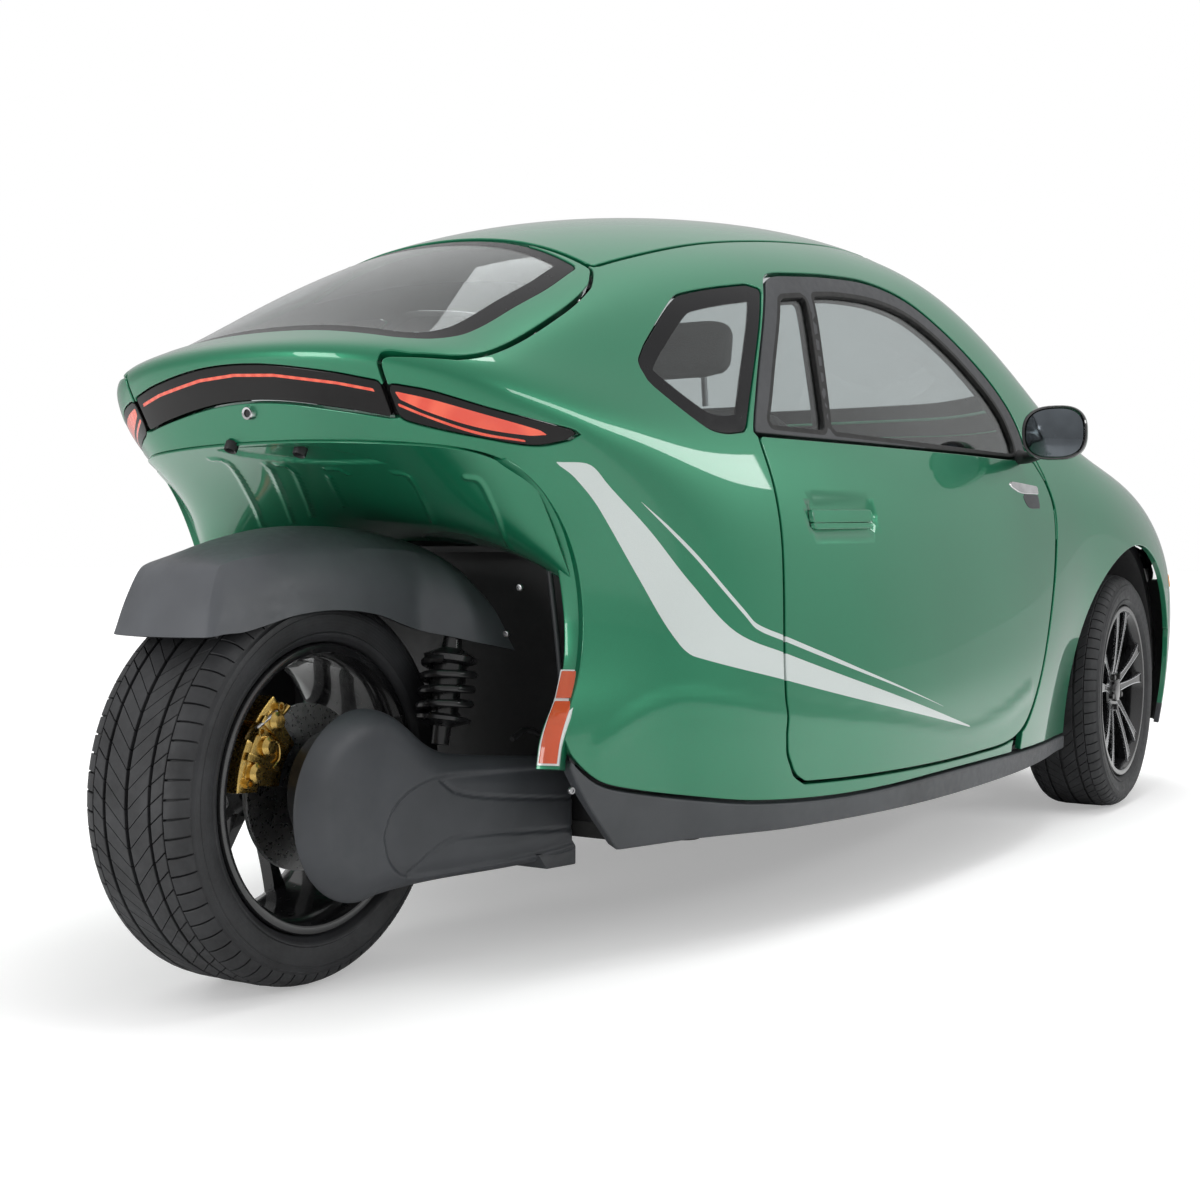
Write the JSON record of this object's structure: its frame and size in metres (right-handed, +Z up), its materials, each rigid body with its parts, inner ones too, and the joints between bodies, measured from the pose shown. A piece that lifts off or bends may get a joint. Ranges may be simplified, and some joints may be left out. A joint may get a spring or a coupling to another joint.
{
  "type": "three wheeled coupe",
  "caption": "Closed coupe with steered front wheels, a rear wheel on a one-sided arm, opening doors, hood and glass tailgate.",
  "frame": {"origin": "on the ground, at the middle of the overall length, on the centre line", "axes": "+X forward, towards the nose; +Y to the left side of the car; +Z up"},
  "size_m": [3.5899, 1.6928, 1.4508],
  "materials": {
    "body_paint": "gloss",
    "black_plastic": "matte",
    "grey_plastic": "satin",
    "gloss_black": "gloss",
    "clear_glass": "gloss",
    "lamp_clear": "gloss",
    "lamp_red": "gloss",
    "amber": "gloss",
    "tyre": "matte",
    "rim_black": "gloss",
    "disc_steel": "brushed",
    "gold_caliper": "satin",
    "cast": "satin",
    "steel_black": "satin",
    "arm_grey": "satin",
    "trim_cloth": "matte",
    "soft_trim": "matte",
    "battery": "satin"
  },
  "bodies": {
    "chassis": {"floor_tub": "black_plastic", "wheelhouse": "black_plastic", "tail_underside": "body_paint", "body_sides": "body_paint", "roof_panel": "body_paint", "windshield": "clear_glass", "quarter_glass": "clear_glass", "front_bumper": "body_paint", "front_fenders": "body_paint", "headlamps": "lamp_clear", "sills": "grey_plastic", "tail_lamps_side": "gloss_black", "reflectors": "amber", "seats": "trim_cloth", "dashboard": "soft_trim", "battery_block": "battery", "front_liners": "black_plastic", "front_subframe": "steel_black", "swingarm": "arm_grey", "rear_caliper": "gold_caliper", "rear_fender": "grey_plastic", "rear_shock": "steel_black"},
    "hood": {"hood": "body_paint"},
    "tailgate": {"tailgate": "body_paint", "rear_glass": "clear_glass", "tail_lamp_centre": "gloss_black"},
    "door_left": {"door_left": "body_paint", "door_frame_left": "grey_plastic", "door_glass_left": "clear_glass", "mirror_left": "body_paint"},
    "door_right": {"door_right": "body_paint", "door_frame_right": "grey_plastic", "door_glass_right": "clear_glass", "mirror_right": "body_paint"},
    "steering_wheel": {"steering_wheel": "soft_trim"},
    "knuckle_left": {"knuckle_left": "cast"},
    "knuckle_right": {"knuckle_right": "cast"},
    "front_wheel_left": {"tyre_front_left": "tyre", "rim_front_left": "rim_black"},
    "front_wheel_right": {"tyre_front_right": "tyre", "rim_front_right": "rim_black"},
    "rear_wheel": {"tyre_rear": "tyre", "rim_rear": "rim_black", "disc_rear": "disc_steel"}
  },
  "joints": [
    {"name": "steer_left", "type": "hinge", "parent": "chassis", "child": "knuckle_left", "pos_m": [1.13, 0.5595, 0.32], "axis": [0, 0, 1], "range_deg": [-32, 32]},
    {"name": "steer_right", "type": "hinge", "parent": "chassis", "child": "knuckle_right", "pos_m": [1.13, -0.5595, 0.32], "axis": [0, 0, 1], "range_deg": [-34, 34]},
    {"name": "steering_wheel_turn", "type": "hinge", "parent": "chassis", "child": "steering_wheel", "pos_m": [0.425, 0.285, 0.79], "axis": [-0.9135, 0, 0.4067], "range_deg": [-330, 330]},
    {"name": "front_wheel_left_spin", "type": "hinge", "parent": "knuckle_left", "child": "front_wheel_left", "pos_m": [1.13, 0.6175, 0.32], "axis": [0, 1, 0], "continuous": true},
    {"name": "front_wheel_right_spin", "type": "hinge", "parent": "knuckle_right", "child": "front_wheel_right", "pos_m": [1.13, -0.6175, 0.32], "axis": [0, 1, 0], "continuous": true},
    {"name": "rear_wheel_spin", "type": "hinge", "parent": "chassis", "child": "rear_wheel", "pos_m": [-1.475, 0, 0.32], "axis": [0, 1, 0], "continuous": true},
    {"name": "door_left_hinge", "type": "hinge", "parent": "chassis", "child": "door_left", "pos_m": [0.506, 0.724, 0.6], "axis": [0, 0, -1], "range_deg": [0, 62]},
    {"name": "door_right_hinge", "type": "hinge", "parent": "chassis", "child": "door_right", "pos_m": [0.506, -0.724, 0.6], "axis": [0, 0, 1], "range_deg": [0, 62]},
    {"name": "tailgate_hinge", "type": "hinge", "parent": "chassis", "child": "tailgate", "pos_m": [-1.0315, 0, 1.278], "axis": [0, 1, 0], "range_deg": [0, 65]},
    {"name": "hood_hinge", "type": "hinge", "parent": "chassis", "child": "hood", "pos_m": [0.747, 0, 1.045], "axis": [0, -1, 0], "range_deg": [0, 48]}
  ],
  "couplings": [
    {"joint": "steer_right", "follows": "steer_left", "ratio": 1},
    {"joint": "steering_wheel_turn", "follows": "steer_left", "ratio": 10}
  ]
}
